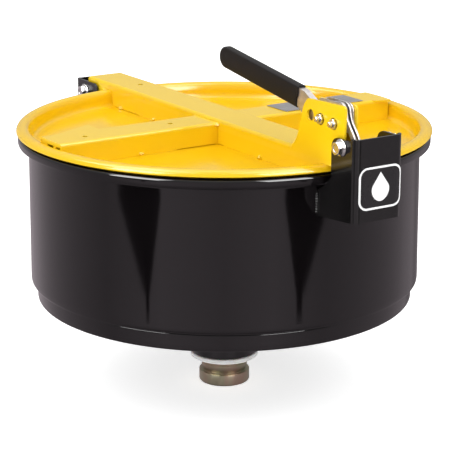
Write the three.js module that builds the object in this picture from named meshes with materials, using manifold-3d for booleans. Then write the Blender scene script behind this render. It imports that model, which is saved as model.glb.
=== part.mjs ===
// Latching funnel for a waste-oil drum: a steel bowl with a threaded drum outlet, a hinged lid
// stiffened by crossed channels, and an over-centre handle that hooks the lid down.
// Millimetres, +Z up. The origin is on the bowl axis, on the underside of the drum gasket.
// +X points to the latch and -X to the lid hinge.
import * as THREE from 'three';
import { mergeVertices } from 'three/addons/utils/BufferGeometryUtils.js';
import Module from 'manifold-3d';

const wasm = await Module();
wasm.setup();

const GAP = 0.3;
const SHEET = 2.5;
const BIG_ROUND = 64;
const SMALL_ROUND = 40;
const HOLE_ROUND = 20;

// Bowl: pressed wall, cone bottom, outlet.
const BOWL_R = 225;
const BOWL_SHEET = 1.6;
const BEAD_TOP_Z = 279;
const BEAD_R = 3;
const FLARE_FOOT_Z = 262;
const SHOULDER_TOP_Z = 120;
const RING_R = 219.5;
const RING_TOP_Z = 101.7;
const RING_BOTTOM_Z = 84;
const COLLAR_R = 40.1;
const COLLAR_TOP_Z = 54.5;
const CONE_THROAT_Z = 52;
const GASKET_R = 40.6;
const GASKET_TOP_Z = 6;
const NECK_R = 27.1;
const THREAD_R = 30.15;
const THREAD_TOP_Z = -10.5;
const SPIGOT_END_Z = -31.8;
const SPIGOT_BORE_R = 24;

// Lid: pan, channels, rim.
const LID_RIM_R = 240;
const LID_TOP_Z = 285.7;
const LID_LIP_Z = 279.8;
const LID_FLOOR_Z = 267;
const LID_FOOT_R = 221.5;
const LID_INNER_RIM_R = 225;
const LID_SHEET = 1.6;
const OVER_RIM_Z = 286;

const BEAM_HALF = 24.4;
const BEAM_TOP_Z = 295.3;
const BEAM_HINGE_X = -284;
const BEAM_LATCH_X = 258;
const CROSS_HALF = 24.5;
const CROSS_TOP_Z = 292;

// Brackets on the bowl.
const EAR_HALF = 28.5;
const KEEPER_FAR_Y = 33;
const BEND_R = 7;
const KEEPER_FRONT_X = 289.5;
const KEEPER_TOP_Z = 323;
const EAR_TOP_Z = 320;
const KEEPER = { x: 264.5, z: 311 };
const HINGE_WEB_X = -311;
const HINGE = { x: -286, z: 276 };
const M8_R = 4;
const M8_HEX = 13;

// Latch: all plates stand side by side along Y around LATCH_Y.
const LATCH_Y = -16;
const PIVOT = { x: 222.3, z: 333 };
const FRAME_BOLT = { x: 245.4, z: 331.8 };
const SPARE_HOLE = { x: 204.1, z: 333.9 };
const HOOK_PIN = { x: 208.6, z: 338.5 };
const CHEEK_HOLE_R = 6.25;
const CHEEK_THROAT_X = 257;
const M6_R = 3;
const M6_HEX = 10;
const PLATE = 1.5;
const GRIP_RISE = 8.17;

const YELLOW = { color: 0xf3bd14, roughness: 0.38, metalness: 0.0 };
const BLACK_PAINT = { color: 0x1c1a1b, roughness: 0.3, metalness: 0.0 };
const BOWL_PAINT = { color: 0x3a3435, roughness: 0.32, metalness: 0.0 };
const ZINC = { color: 0xa9a6a2, roughness: 0.35, metalness: 0.9 };
const CHROMATE = { color: 0x8a7b45, roughness: 0.4, metalness: 0.85 };
const VINYL = { color: 0x1a1818, roughness: 0.55, metalness: 0.0 };
const RUBBER = { color: 0x2a2a2a, roughness: 0.8, metalness: 0.0 };
const WHITE_GASKET = { color: 0xe9e6dd, roughness: 0.6, metalness: 0.0 };
const EMBLEM = { color: 0x26262a, roughness: 0.35, metalness: 0.0 };
const SILVER = { color: 0xc3c0ba, roughness: 0.4, metalness: 0.6 };

const radians = (degrees) => degrees * Math.PI / 180;

function arc(cx, cy, r, fromDeg, toDeg, steps) {
  const points = [];
  for (let i = 0; i <= steps; i += 1) {
    const a = radians(fromDeg + (toDeg - fromDeg) * i / steps);
    points.push([cx + r * Math.cos(a), cy + r * Math.sin(a)]);
  }
  return points;
}

function signedArea(points) {
  let sum = 0;
  points.forEach(([x, y], i) => {
    const [nx, ny] = points[(i + 1) % points.length];
    sum += x * ny - nx * y;
  });
  return sum / 2;
}

function toSolid(geometry) {
  const bare = geometry.index ? geometry.toNonIndexed() : geometry;
  bare.deleteAttribute('normal');
  bare.deleteAttribute('uv');
  const welded = mergeVertices(bare, 1e-4);
  return new wasm.Manifold(new wasm.Mesh({
    numProp: 3,
    vertProperties: new Float32Array(welded.attributes.position.array),
    triVerts: new Uint32Array(welded.index.array),
  }));
}

function piece(name, solid, look) {
  const mesh = solid.getMesh();
  const geometry = new THREE.BufferGeometry();
  geometry.setAttribute('position', new THREE.BufferAttribute(mesh.vertProperties, 3));
  geometry.setIndex(new THREE.BufferAttribute(mesh.triVerts, 1));
  geometry.computeVertexNormals();
  const part = new THREE.Mesh(geometry, new THREE.MeshStandardMaterial(look));
  part.name = name;
  return part;
}

function extruded(points, depth) {
  const ring = signedArea(points) < 0 ? [...points].reverse() : points;
  const shape = new THREE.Shape(ring.map(([x, y]) => new THREE.Vector2(x, y)));
  return new THREE.ExtrudeGeometry(shape, { depth, bevelEnabled: false });
}

// Sheet cut in the X-Z plane, filling yLow to yHigh.
function sideSheet(points, yLow, yHigh) {
  const geometry = extruded(points, yHigh - yLow);
  geometry.rotateX(Math.PI / 2);
  geometry.translate(0, yHigh, 0);
  return toSolid(geometry);
}

// Outline in the X-Y plane, filling zLow to zHigh.
function planSheet(points, zLow, zHigh) {
  const geometry = extruded(points, zHigh - zLow);
  geometry.translate(0, 0, zLow);
  return toSolid(geometry);
}

// Outline in the Y-Z plane, filling xLow to xHigh.
function crossSheet(points, xLow, xHigh) {
  const geometry = extruded(points, xHigh - xLow);
  const toX = new THREE.Matrix4().makeBasis(
    new THREE.Vector3(0, 1, 0),
    new THREE.Vector3(0, 0, 1),
    new THREE.Vector3(1, 0, 0),
  );
  geometry.applyMatrix4(toX);
  geometry.translate(xLow, 0, 0);
  return toSolid(geometry);
}

function box(x0, x1, y0, y1, z0, z1) {
  return planSheet([[x0, y0], [x1, y0], [x1, y1], [x0, y1]], z0, z1);
}

// Turned part around the Z axis from a closed [radius, z] outline.
function turned(profile, segments) {
  const outline = signedArea(profile) < 0 ? [...profile].reverse() : profile;
  const points = [...outline, outline[0]].map(([r, z]) => new THREE.Vector2(r, z));
  const geometry = new THREE.LatheGeometry(points, segments);
  geometry.rotateX(Math.PI / 2);
  return toSolid(geometry);
}

function disc(r, zLow, zHigh, segments = BIG_ROUND) {
  return planSheet(arc(0, 0, r, 0, 360 - 360 / segments, segments - 1), zLow, zHigh);
}

function pinAlongY(at, r, yLow, yHigh, segments = HOLE_ROUND) {
  return sideSheet(arc(at.x, at.z, r, 0, 360 - 360 / segments, segments - 1), yLow, yHigh);
}

function hexAlongY(at, acrossFlats, yLow, yHigh) {
  const corner = acrossFlats / Math.sqrt(3);
  return sideSheet(arc(at.x, at.z, corner, 0, 300, 5), yLow, yHigh);
}

function sum(solids) {
  return solids.reduce((whole, solid) => whole.add(solid));
}

// Edge of a latch cheek, from the cut-back that clears the keeper bolt up over the top and down.
const CHEEK_OUTLINE = [
  [CHEEK_THROAT_X, BEAM_TOP_Z + 4],
  [CHEEK_THROAT_X, 315],
  [CHEEK_THROAT_X + 2.5, 318],
  [263.6, 318],
  ...arc(260.2, 348.2, 5, 0, 85, 3),
  [197.6, 350.6],
  [192.6, 344],
  [189.1, 334.2],
  [183.3, 313.9],
];

// ---- bowl ----

function bowlWall() {
  const foot = RING_TOP_Z + GAP;
  const inner = BOWL_R - BOWL_SHEET;
  const profile = [
    [RING_R - 0.5, foot],
    [RING_R, foot + 3],
    [BOWL_R - 1.6, SHOULDER_TOP_Z - 7],
    [BOWL_R, SHOULDER_TOP_Z],
    [BOWL_R, FLARE_FOOT_Z],
    [BOWL_R + 3, FLARE_FOOT_Z + 4.5],
    [BOWL_R + 10.2, BEAD_TOP_Z - 7],
    ...arc(235.4, BEAD_TOP_Z - BEAD_R, BEAD_R, -60, 180, 6),
    [BOWL_R + 7, BEAD_TOP_Z - 6.8],
    [BOWL_R + 1.4, FLARE_FOOT_Z + 5.2],
    [inner, FLARE_FOOT_Z + 0.5],
    [inner, SHOULDER_TOP_Z],
    [inner - 1.6, SHOULDER_TOP_Z - 6.5],
    [RING_R - BOWL_SHEET, foot + 3],
    [RING_R - BOWL_SHEET - 0.5, foot],
  ];
  return piece('bowl_wall', turned(profile, BIG_ROUND), BOWL_PAINT);
}

function bowlCone() {
  const throat = COLLAR_R + GAP;
  const inner = RING_R - BOWL_SHEET;
  const profile = [
    [throat, CONE_THROAT_Z],
    [inner - 1.2, RING_BOTTOM_Z],
    [RING_R - 0.6, RING_BOTTOM_Z],
    [RING_R, RING_BOTTOM_Z + 0.8],
    [RING_R, RING_TOP_Z],
    [inner, RING_TOP_Z],
    [inner, RING_BOTTOM_Z + 2.4],
    [inner - 1.4, RING_BOTTOM_Z + 1.7],
    [throat, CONE_THROAT_Z + BOWL_SHEET],
  ];
  return piece('bowl_cone', turned(profile, BIG_ROUND), BOWL_PAINT);
}

function outletCollar() {
  const bottom = GASKET_TOP_Z + GAP;
  const profile = [
    [NECK_R + GAP, bottom],
    [COLLAR_R - 0.8, bottom],
    [COLLAR_R, bottom + 0.8],
    [COLLAR_R, COLLAR_TOP_Z],
    [COLLAR_R - 3, COLLAR_TOP_Z],
    [COLLAR_R - 3, bottom + 4],
    [NECK_R + GAP, bottom + 4],
  ];
  return piece('outlet_collar', turned(profile, SMALL_ROUND), BLACK_PAINT);
}

function drumGasket() {
  const profile = [
    [NECK_R + GAP, 0],
    [GASKET_R - 0.8, 0],
    [GASKET_R, 0.8],
    [GASKET_R, GASKET_TOP_Z - 0.8],
    [GASKET_R - 0.8, GASKET_TOP_Z],
    [NECK_R + GAP, GASKET_TOP_Z],
  ];
  return piece('drum_gasket', turned(profile, SMALL_ROUND), WHITE_GASKET);
}

// Two-inch pipe nipple: a clamping shoulder inside the collar, a neck, then the threaded band.
function bungAdapter() {
  const shoulder = GASKET_TOP_Z + GAP * 2 + 4;
  const profile = [
    [SPIGOT_BORE_R, SPIGOT_END_Z],
    [THREAD_R - 2, SPIGOT_END_Z],
    [THREAD_R, SPIGOT_END_Z + 2.5],
    [THREAD_R, THREAD_TOP_Z - 1.5],
    [THREAD_R - 1.5, THREAD_TOP_Z],
    [NECK_R, THREAD_TOP_Z],
    [NECK_R, shoulder],
    [COLLAR_R - 4.5, shoulder],
    [COLLAR_R - 4.5, shoulder + 5],
    [SPIGOT_BORE_R, shoulder + 5],
  ];
  return piece('bung_adapter', turned(profile, SMALL_ROUND), CHROMATE);
}

// Perforated plate over the outlet, resting on the adapter's shoulder.
function strainerPlate() {
  const holeR = 3.2;
  const bottom = GASKET_TOP_Z + 4 + 5 + GAP * 3;
  const plate = disc(COLLAR_R - 4.5, bottom, bottom + 1.5, SMALL_ROUND);
  const holes = [[0, 1], [13, 6], [25, 10]].flatMap(([r, count]) => (
    Array.from({ length: count }, (_, i) => {
      const a = 2 * Math.PI * i / count;
      const ring = arc(r * Math.cos(a), r * Math.sin(a), holeR, 0, 315, 7);
      return planSheet(ring, bottom - 1, bottom + 3);
    })
  ));
  return piece('strainer_plate', plate.subtract(sum(holes)), CHROMATE);
}

// Plan of a bent U of sheet that opens toward the bowl; side is +1 for latch, -1 for hinge.
function bracketPlan(side, webX, innerEndX, farY) {
  const web = Math.abs(webX);
  const inside = BEND_R - SHEET;
  const plan = [
    [innerEndX, farY],
    ...arc(web - BEND_R, farY - BEND_R, BEND_R, 90, 0, 4),
    ...arc(web - BEND_R, BEND_R - EAR_HALF, BEND_R, 0, -90, 4),
    [innerEndX, -EAR_HALF],
    [innerEndX, SHEET - EAR_HALF],
    ...arc(web - BEND_R, BEND_R - EAR_HALF, inside, -90, 0, 4),
    ...arc(web - BEND_R, farY - BEND_R, inside, 0, 90, 4),
    [innerEndX, farY - SHEET],
  ];
  return plan.map(([x, y]) => [side * x, y]);
}

function keeperBracket() {
  const bodyX = BOWL_R - 1.2;
  const earRearX = 247.7;
  const cornerR = 11;
  const side = [
    [bodyX, 229.5],
    [KEEPER_FRONT_X + 1, 235],
    [KEEPER_FRONT_X + 1, KEEPER_TOP_Z],
    [KEEPER_FRONT_X - 6, KEEPER_TOP_Z],
    [KEEPER_FRONT_X - 9, EAR_TOP_Z],
    ...arc(earRearX + cornerR, EAR_TOP_Z - cornerR, cornerR, 90, 180, 5),
    [earRearX, 277],
    [240.5, 268],
    [bodyX, 257],
  ];
  const bent = planSheet(bracketPlan(1, KEEPER_FRONT_X, bodyX, KEEPER_FAR_Y), 225, 326);
  const outline = sideSheet(side, -EAR_HALF - 1, KEEPER_FAR_Y + 1);
  const bore = pinAlongY(KEEPER, M8_R + GAP, -EAR_HALF - 1, KEEPER_FAR_Y + 1);
  return piece('latch_keeper_bracket', bent.intersect(outline).subtract(bore), BLACK_PAINT);
}

function hingeBracket() {
  const bodyX = BOWL_R - 1.2;
  const web = Math.abs(HINGE_WEB_X);
  const side = [
    [-bodyX, 229.5],
    [-web - 1, 236],
    [-web - 1, 287],
    [-web + 3, 289.5],
    ...arc(-264.5, 279.5, 10, 90, 0, 5),
    [-254.5, 270],
    [-248, 266],
    [-240, 264],
    [-bodyX, 255],
  ];
  const bent = planSheet(bracketPlan(-1, HINGE_WEB_X, bodyX, EAR_HALF), 225, 300);
  const outline = sideSheet(side, -EAR_HALF - 1, EAR_HALF + 1);
  const bore = pinAlongY(HINGE, M8_R + GAP, -EAR_HALF - 1, EAR_HALF + 1);
  return piece('hinge_bracket', bent.intersect(outline).subtract(bore), BLACK_PAINT);
}

// Flanged hex bolt along +Y with its head outside the near ear.
function flangedBolt(name, at, tipY) {
  const seat = -EAR_HALF - GAP;
  const head = sum([
    pinAlongY(at, 9.2, seat - 1.4, seat, 24),
    hexAlongY(at, M8_HEX, seat - 7.5, seat - 1.4),
    pinAlongY(at, M8_R, seat, tipY),
  ]);
  return piece(name, head, ZINC);
}

function lockNut(name, at, earY) {
  const seat = earY + GAP;
  const body = pinAlongY(at, 9.2, seat, seat + 1.4, 24).add(hexAlongY(at, M8_HEX, seat + 1.4, seat + 7.5));
  const bore = pinAlongY(at, M8_R + GAP, seat - 1, seat + 9);
  return piece(name, body.subtract(bore), ZINC);
}

function emblemPlate() {
  const y0 = BEND_R - EAR_HALF + 1;
  const y1 = KEEPER_FAR_Y - BEND_R - 0.5;
  const z0 = 249.5;
  const z1 = 291.5;
  const r = 10;
  const outline = [
    ...arc(y1 - r, z1 - r, r, 0, 90, 5),
    ...arc(y0 + r, z1 - r, r, 90, 180, 5),
    ...arc(y0 + r, z0 + r, r, 180, 270, 5),
    ...arc(y1 - r, z0 + r, r, 270, 360, 5),
  ];
  const x = KEEPER_FRONT_X + GAP;
  return piece('emblem_plate', crossSheet(outline, x, x + 0.8), EMBLEM);
}

// ---- lid ----

function lidPan() {
  const r = LID_INNER_RIM_R;
  const bottom = LID_FLOOR_Z - LID_SHEET;
  const profile = [
    [0, bottom],
    [LID_FOOT_R - 0.5, bottom],
    [LID_FOOT_R + 1.7, bottom + 2],
    [r + 1.5, LID_LIP_Z - 0.5],
    [r + 2.6, LID_TOP_Z - 2.4],
    [r + 4.4, LID_TOP_Z - LID_SHEET],
    [LID_RIM_R - 3.8, LID_TOP_Z - LID_SHEET],
    [LID_RIM_R - LID_SHEET, LID_TOP_Z - 3.4],
    [LID_RIM_R - LID_SHEET, LID_LIP_Z],
    [LID_RIM_R, LID_LIP_Z],
    [LID_RIM_R, LID_TOP_Z - 2.6],
    [LID_RIM_R - 1, LID_TOP_Z - 0.9],
    [LID_RIM_R - 3.6, LID_TOP_Z],
    [r + 4, LID_TOP_Z],
    [r + 1.2, LID_TOP_Z - 1.2],
    [r, LID_TOP_Z - 4],
    [LID_FOOT_R + 0.2, LID_FLOOR_Z + 2.4],
    [LID_FOOT_R - 2, LID_FLOOR_Z],
    [0, LID_FLOOR_Z],
  ];
  const outline = profile.map(([x, z]) => new THREE.Vector2(x, z));
  const geometry = new THREE.LatheGeometry(outline, BIG_ROUND);
  geometry.rotateX(Math.PI / 2);
  return piece('lid_pan', toSolid(geometry), YELLOW);
}

function lidGasket() {
  const z0 = BEAD_TOP_Z + GAP;
  const z1 = LID_TOP_Z - LID_SHEET - GAP;
  const profile = [[230, z0], [236, z0], [236, z1], [230, z1]];
  return piece('lid_gasket', turned(profile, BIG_ROUND), RUBBER);
}

function longBeam() {
  const inner = BEAM_HALF - SHEET;
  const under = BEAM_TOP_Z - SHEET;
  const floor = LID_FLOOR_Z + GAP;
  const clearR = 218;
  const lobeR = 9.5;
  const lobe = arc(HINGE.x, HINGE.z, lobeR, 150, 300, 8);
  const skirtZ = 272;
  const wallBottom = [
    ...lobe,
    [-258, skirtZ],
    [-241.5, skirtZ],
    [-241.5, OVER_RIM_Z],
    [-clearR, OVER_RIM_Z],
    [-clearR, floor],
    [clearR, floor],
    [clearR, OVER_RIM_Z],
  ];
  const farWall = [
    [BEAM_HINGE_X, BEAM_TOP_Z],
    [HINGE.x - 6.5, HINGE.z + 11],
    ...wallBottom,
    [BEAM_LATCH_X, OVER_RIM_Z],
    [BEAM_LATCH_X, BEAM_TOP_Z],
  ];
  const nearWall = [
    [BEAM_HINGE_X, BEAM_TOP_Z],
    [HINGE.x - 6.5, HINGE.z + 11],
    ...wallBottom,
    [BEAM_LATCH_X - 3, OVER_RIM_Z],
    [BEAM_LATCH_X, OVER_RIM_Z + 3],
    [BEAM_LATCH_X, BEAM_TOP_Z],
    ...CHEEK_OUTLINE,
    [178, 302],
    [171, BEAM_TOP_Z],
  ];
  const top = box(BEAM_HINGE_X, BEAM_LATCH_X, -BEAM_HALF, BEAM_HALF, under, BEAM_TOP_Z);
  const bores = [PIVOT, FRAME_BOLT, SPARE_HOLE].map((at) => (
    pinAlongY(at, CHEEK_HOLE_R, -BEAM_HALF - 1, -inner + 1)
  ));
  bores.push(pinAlongY(HINGE, M8_R + GAP, -BEAM_HALF - 1, BEAM_HALF + 1));
  const lightening = planSheet(arc(-200, 4, 3.2, 0, 330, 11), under - 1, BEAM_TOP_Z + 1);
  const body = sum([
    top,
    sideSheet(nearWall, -BEAM_HALF, -inner),
    sideSheet(farWall, inner, BEAM_HALF),
  ]);
  return piece('long_beam', body.subtract(sum([...bores, lightening])), YELLOW);
}

// Channel lying across the lid from the long beam outward along side * Y.
function crossBeam(name, side, endR, holes, tab) {
  const start = BEAM_HALF + GAP;
  const floor = LID_FLOOR_Z + GAP;
  const under = CROSS_TOP_Z - SHEET;
  const reach = LID_RIM_R + 10;
  const span = (y0, y1) => (side > 0 ? [y0, y1] : [-y1, -y0]);
  const [yLow, yHigh] = span(start, reach);
  const top = box(-CROSS_HALF, CROSS_HALF, yLow, yHigh, under, CROSS_TOP_Z);
  const walls = [-1, 1].map((edge) => {
    const a = edge * CROSS_HALF;
    const b = edge * (CROSS_HALF - SHEET);
    return box(Math.min(a, b), Math.max(a, b), yLow, yHigh, floor, CROSS_TOP_Z);
  });
  const trimLow = disc(LID_FOOT_R - 3, floor - 1, OVER_RIM_Z);
  const trimHigh = disc(endR, OVER_RIM_Z, CROSS_TOP_Z + 1);
  let body = sum([top, ...walls, ...tab]).intersect(trimLow.add(trimHigh));
  holes.forEach(([x, y, r]) => {
    body = body.subtract(planSheet(arc(x, y, r, 0, 330, 11), under - 1, CROSS_TOP_Z + 1));
  });
  return piece(name, body, YELLOW);
}

function leftCrossBeam() {
  const under = CROSS_TOP_Z - SHEET;
  const tab = planSheet([[-24, -215], [-24, -154], [-46, -154]], under, CROSS_TOP_Z);
  return crossBeam('cross_beam_left', -1, 226.6, [[0, -73, 3], [4, -185, 3]], [tab]);
}

function rightCrossBeam() {
  const under = CROSS_TOP_Z - SHEET;
  const tab = planSheet([[24, 200], [30, 222], [24, 222]], under, CROSS_TOP_Z);
  return crossBeam('cross_beam_right', 1, LID_FOOT_R, [], [tab]);
}

function markingPlate() {
  const z = CROSS_TOP_Z + GAP;
  return piece('marking_plate', box(-20, 21, 73, 186, z, z + 0.8), SILVER);
}

// Second yellow cheek, standing on the beam top beside the latch.
function farCheek() {
  const foot = BEAM_TOP_Z + GAP;
  const y1 = LATCH_Y + 8.4;
  const outline = [
    [183, foot],
    [CHEEK_THROAT_X, foot],
    ...CHEEK_OUTLINE,
  ];
  const bores = [PIVOT, FRAME_BOLT].map((at) => pinAlongY(at, M6_R + GAP, y1 - 4, y1 + 1));
  const body = sideSheet(outline, y1 - SHEET, y1).subtract(sum(bores));
  return piece('latch_far_cheek', body, YELLOW);
}

// Zinc side plate of the latch between a cheek and the handle.
function framePlate(name, yLow) {
  const outline = [
    [213, 322],
    [262, 322],
    [262, 346],
    [253, 354.5],
    [219, 354.5],
    [213, 348],
  ];
  const bores = [PIVOT, FRAME_BOLT].map((at) => pinAlongY(at, M6_R + GAP, yLow - 1, yLow + PLATE + 1));
  return piece(name, sideSheet(outline, yLow, yLow + PLATE).subtract(sum(bores)), ZINC);
}

// Hex bolt through both cheeks; its head is on the far cheek.
function latchBolt(name, at) {
  const seat = LATCH_Y + 8.4 + GAP;
  const body = hexAlongY(at, M6_HEX, seat, seat + 4).add(pinAlongY(at, M6_R, -31.5, seat));
  return piece(name, body, ZINC);
}

function latchNut(name, at) {
  const seat = -21.6 - GAP;
  const body = hexAlongY(at, M6_HEX, seat - 5.5, seat);
  return piece(name, body.subtract(pinAlongY(at, M6_R + GAP, seat - 6, seat + 1)), ZINC);
}

// ---- handle and hook ----

function along(distance, drop) {
  const a = radians(GRIP_RISE);
  return [
    175 - distance * Math.cos(a) - drop * Math.sin(a),
    347.6 + distance * Math.sin(a) - drop * Math.cos(a),
  ];
}

// Folded channel: two legs joined by a top web along the grip, forked at the pivot.
function handleChannel() {
  const half = 3.8;
  const depth = 10;
  const legEnd = arc(PIVOT.x, PIVOT.z, 9.5, 60, -120, 8);
  const side = [
    along(0, -depth),
    along(146, -depth),
    along(152, 0),
    along(146, depth),
    along(0, depth),
    [186, 329],
    ...[...legEnd].reverse(),
    [204, 346.3],
    [186, 355.6],
  ];
  const legs = [-half, half - PLATE].map((y) => sideSheet(side, LATCH_Y + y, LATCH_Y + y + PLATE));
  const core = sideSheet(side, LATCH_Y - half, LATCH_Y + half);
  const cut = sideSheet([
    along(150, -depth + PLATE),
    along(0, -depth + PLATE),
    [185.4, 354.1],
    [199, 347],
    [199, 380],
    [260, 380],
    [260, 300],
    [20, 300],
  ], LATCH_Y - half - 1, LATCH_Y + half + 1);
  const web = core.subtract(cut);
  const bores = [
    pinAlongY(PIVOT, M6_R + GAP, LATCH_Y - 5, LATCH_Y + 5),
    pinAlongY(HOOK_PIN, 2.5 + GAP, LATCH_Y - 5, LATCH_Y + 5),
  ];
  return piece('handle_channel', sum([...legs, web]).subtract(sum(bores)), ZINC);
}

// Dipped vinyl grip: a full-radius slab with a socket for the channel.
function handleGrip() {
  const r = 12.25;
  const [endX, endZ] = along(143, 0);
  const a = GRIP_RISE;
  const outline = [
    along(0, -r),
    along(0, r),
    ...arc(endX, endZ, r, 270 - a, 90 - a, 12),
  ];
  const body = sideSheet(outline, LATCH_Y - 5, LATCH_Y + 5);
  const socketDepth = 10 + GAP;
  const socket = sideSheet([
    along(-5, -socketDepth),
    along(146.5, -socketDepth),
    along(152.6, 0),
    along(146.5, socketDepth),
    along(-5, socketDepth),
  ], LATCH_Y - 3.8 - GAP, LATCH_Y + 3.8 + GAP);
  return piece('handle_grip', body.subtract(socket), VINYL);
}

function hookRivet() {
  return piece('hook_rivet', pinAlongY(HOOK_PIN, 2.5, LATCH_Y - 3.8, LATCH_Y + 3.8), ZINC);
}

// Laminated hook: thin eye on the rivet, thicker arm over the frame bolt, claw under the keeper bolt.
function hookLink() {
  const throat = M8_R + 0.8;
  const outline = [
    ...arc(HOOK_PIN.x, HOOK_PIN.z, 8, 290, 110, 8),
    [212, 347],
    [222, 349.5],
    [234, 353],
    [251, 355],
    [259, 350],
    [262, 339],
    [268, 330],
    [275, 321],
    [277.6, 313],
    [277.6, 306],
    [275, 300.5],
    [269, 298.3],
    [263, 299],
    [261.5, 302.5],
    [262.2, 305.4],
    ...arc(KEEPER.x, KEEPER.z, throat, -115, 0, 5),
    [KEEPER.x + throat, 319],
    [262.5, 327],
    [256.5, 335],
    [252.5, 341.5],
    [220, 341],
    [214, 335],
  ];
  const armX = 236.5;
  const core = sideSheet(outline, LATCH_Y - 2, LATCH_Y + 2);
  const arm = sideSheet(outline, LATCH_Y - 3.7, LATCH_Y + 3.7);
  const body = core.add(arm.intersect(box(armX, 300, -30, 0, 280, 370)));
  const bore = pinAlongY(HOOK_PIN, 2.5 + GAP, LATCH_Y - 3, LATCH_Y + 3);
  return piece('hook_link', body.subtract(bore), ZINC);
}

const assembly = new THREE.Group();
assembly.name = 'latching_drum_funnel';
assembly.add(
  bowlWall(),
  bowlCone(),
  outletCollar(),
  drumGasket(),
  bungAdapter(),
  strainerPlate(),
  keeperBracket(),
  hingeBracket(),
  flangedBolt('keeper_bolt', KEEPER, KEEPER_FAR_Y + 10),
  lockNut('keeper_nut', KEEPER, KEEPER_FAR_Y),
  flangedBolt('hinge_bolt', HINGE, EAR_HALF + 10),
  lockNut('hinge_nut', HINGE, EAR_HALF),
  emblemPlate(),
  lidPan(),
  lidGasket(),
  longBeam(),
  leftCrossBeam(),
  rightCrossBeam(),
  markingPlate(),
  farCheek(),
  framePlate('latch_frame_near', -21.6),
  framePlate('latch_frame_far', -11.9),
  latchBolt('pivot_bolt', PIVOT),
  latchNut('pivot_nut', PIVOT),
  latchBolt('frame_bolt', FRAME_BOLT),
  latchNut('frame_nut', FRAME_BOLT),
  handleChannel(),
  handleGrip(),
  hookRivet(),
  hookLink(),
);

export default assembly;
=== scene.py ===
import math
import random

import bmesh
import bpy
from mathutils import Matrix, Vector


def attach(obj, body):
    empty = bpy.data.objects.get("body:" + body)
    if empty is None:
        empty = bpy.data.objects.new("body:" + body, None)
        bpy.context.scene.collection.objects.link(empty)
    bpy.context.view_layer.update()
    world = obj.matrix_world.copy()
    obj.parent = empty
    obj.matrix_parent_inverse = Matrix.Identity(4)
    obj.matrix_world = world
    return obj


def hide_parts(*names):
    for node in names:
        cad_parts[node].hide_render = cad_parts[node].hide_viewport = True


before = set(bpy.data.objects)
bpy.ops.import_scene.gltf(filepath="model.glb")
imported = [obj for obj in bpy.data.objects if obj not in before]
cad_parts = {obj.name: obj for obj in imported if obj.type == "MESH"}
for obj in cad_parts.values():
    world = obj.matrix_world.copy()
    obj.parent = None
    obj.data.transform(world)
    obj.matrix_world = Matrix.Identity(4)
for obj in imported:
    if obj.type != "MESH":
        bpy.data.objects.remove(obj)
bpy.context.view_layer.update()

MM = 0.001
CREASE = 32.0  # degrees between faces above which an edge stays sharp
EDGE_POINTINESS = (0.53, 0.62)  # where edge wear begins and is complete
WELD_CREASE = 80.0
RIPPLE_PITCH = 2.6  # millimetres between the ripples of a weld bead
SHEET = 2.5  # thickness of the brackets' and beams' sheet
rng = random.Random(7)

# ---------------------------------------------------------------- materials


class Nodes:
    """Small helper that adds and links shader nodes."""

    def __init__(self, name):
        self.material = bpy.data.materials.new(name)
        self.material.use_nodes = True
        self.tree = self.material.node_tree
        self.shader = self.tree.nodes["Principled BSDF"]
        self.coords = self.add("ShaderNodeTexCoord")
        self.normal = None

    def add(self, kind, **values):
        node = self.tree.nodes.new(kind)
        for key, value in values.items():
            setattr(node, key, value)
        return node

    def link(self, a, b):
        self.tree.links.new(a, b)

    def noise(self, scale, detail=3.0, rough=0.5, stretch=(1, 1, 1), distortion=0.0):
        mapping = self.add("ShaderNodeMapping")
        mapping.inputs["Scale"].default_value = stretch
        self.link(self.coords.outputs["Object"], mapping.inputs["Vector"])
        node = self.add("ShaderNodeTexNoise")
        node.inputs["Scale"].default_value = scale
        node.inputs["Detail"].default_value = detail
        node.inputs["Roughness"].default_value = rough
        node.inputs["Distortion"].default_value = distortion
        self.link(mapping.outputs["Vector"], node.inputs["Vector"])
        return node.outputs["Fac"]

    def ramp(self, value, stops):
        node = self.add("ShaderNodeValToRGB")
        ramp = node.color_ramp
        while len(ramp.elements) < len(stops):
            ramp.elements.new(0.5)
        for element, (at, colour) in zip(ramp.elements, stops):
            element.position = at
            element.color = (*colour, 1.0)
        self.link(value, node.inputs["Fac"])
        return node.outputs["Color"]

    def mix(self, factor, a, b):
        node = self.add("ShaderNodeMix", data_type="RGBA")
        for socket, value in (("Factor", factor), ("A", a), ("B", b)):
            kind = "VALUE" if socket == "Factor" else "RGBA"
            target = next(s for s in node.inputs if s.name == socket and s.type == kind)
            if isinstance(value, (int, float)):
                target.default_value = value
            elif isinstance(value, tuple):
                target.default_value = (*value, 1.0)
            else:
                self.link(value, target)
        return next(s for s in node.outputs if s.type == "RGBA")

    def scale(self, value, low, high):
        node = self.add("ShaderNodeMapRange")
        node.inputs["To Min"].default_value = low
        node.inputs["To Max"].default_value = high
        self.link(value, node.inputs["Value"])
        return node.outputs["Result"]

    def bump(self, height, strength, distance):
        node = self.add("ShaderNodeBump")
        node.inputs["Strength"].default_value = strength
        node.inputs["Distance"].default_value = distance
        self.link(height, node.inputs["Height"])
        if self.normal is not None:
            self.link(self.normal, node.inputs["Normal"])
        self.normal = node.outputs["Normal"]

    def done(self, colour, rough, **sockets):
        self.link(colour, self.shader.inputs["Base Color"])
        self.link(rough, self.shader.inputs["Roughness"])
        if self.normal is not None:
            self.link(self.normal, self.shader.inputs["Normal"])
        for key, value in sockets.items():
            self.shader.inputs[key.replace("_", " ")].default_value = value
        return self.material


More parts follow.
